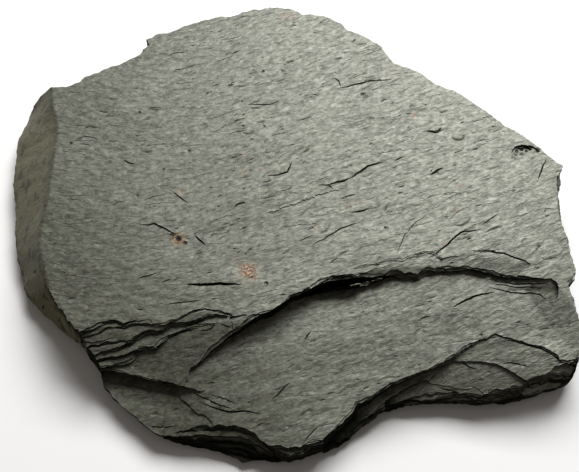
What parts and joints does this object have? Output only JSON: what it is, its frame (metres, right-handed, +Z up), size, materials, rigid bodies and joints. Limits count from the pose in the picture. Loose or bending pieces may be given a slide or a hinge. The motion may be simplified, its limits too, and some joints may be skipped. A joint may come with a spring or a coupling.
{
  "type": "slate slab",
  "caption": "Natural slab of grey-green slate lying flat, with broken ledges, a low shelf at the front and a sloping facet on its left side.",
  "frame": {"origin": "on the surface it lies on, under the middle of the slab's bounding box", "axes": "+X to the right along the slab's longest side, +Y towards the back rim away from the broken ledges, +Z up from the flat underside"},
  "size_m": [0.2606, 0.234, 0.025],
  "materials": {
    "slate": "matt cleaved grey-green slate with a finely wavy grain"
  },
  "bodies": {
    "root": {"slate_slab": "slate"}
  },
  "joints": []
}
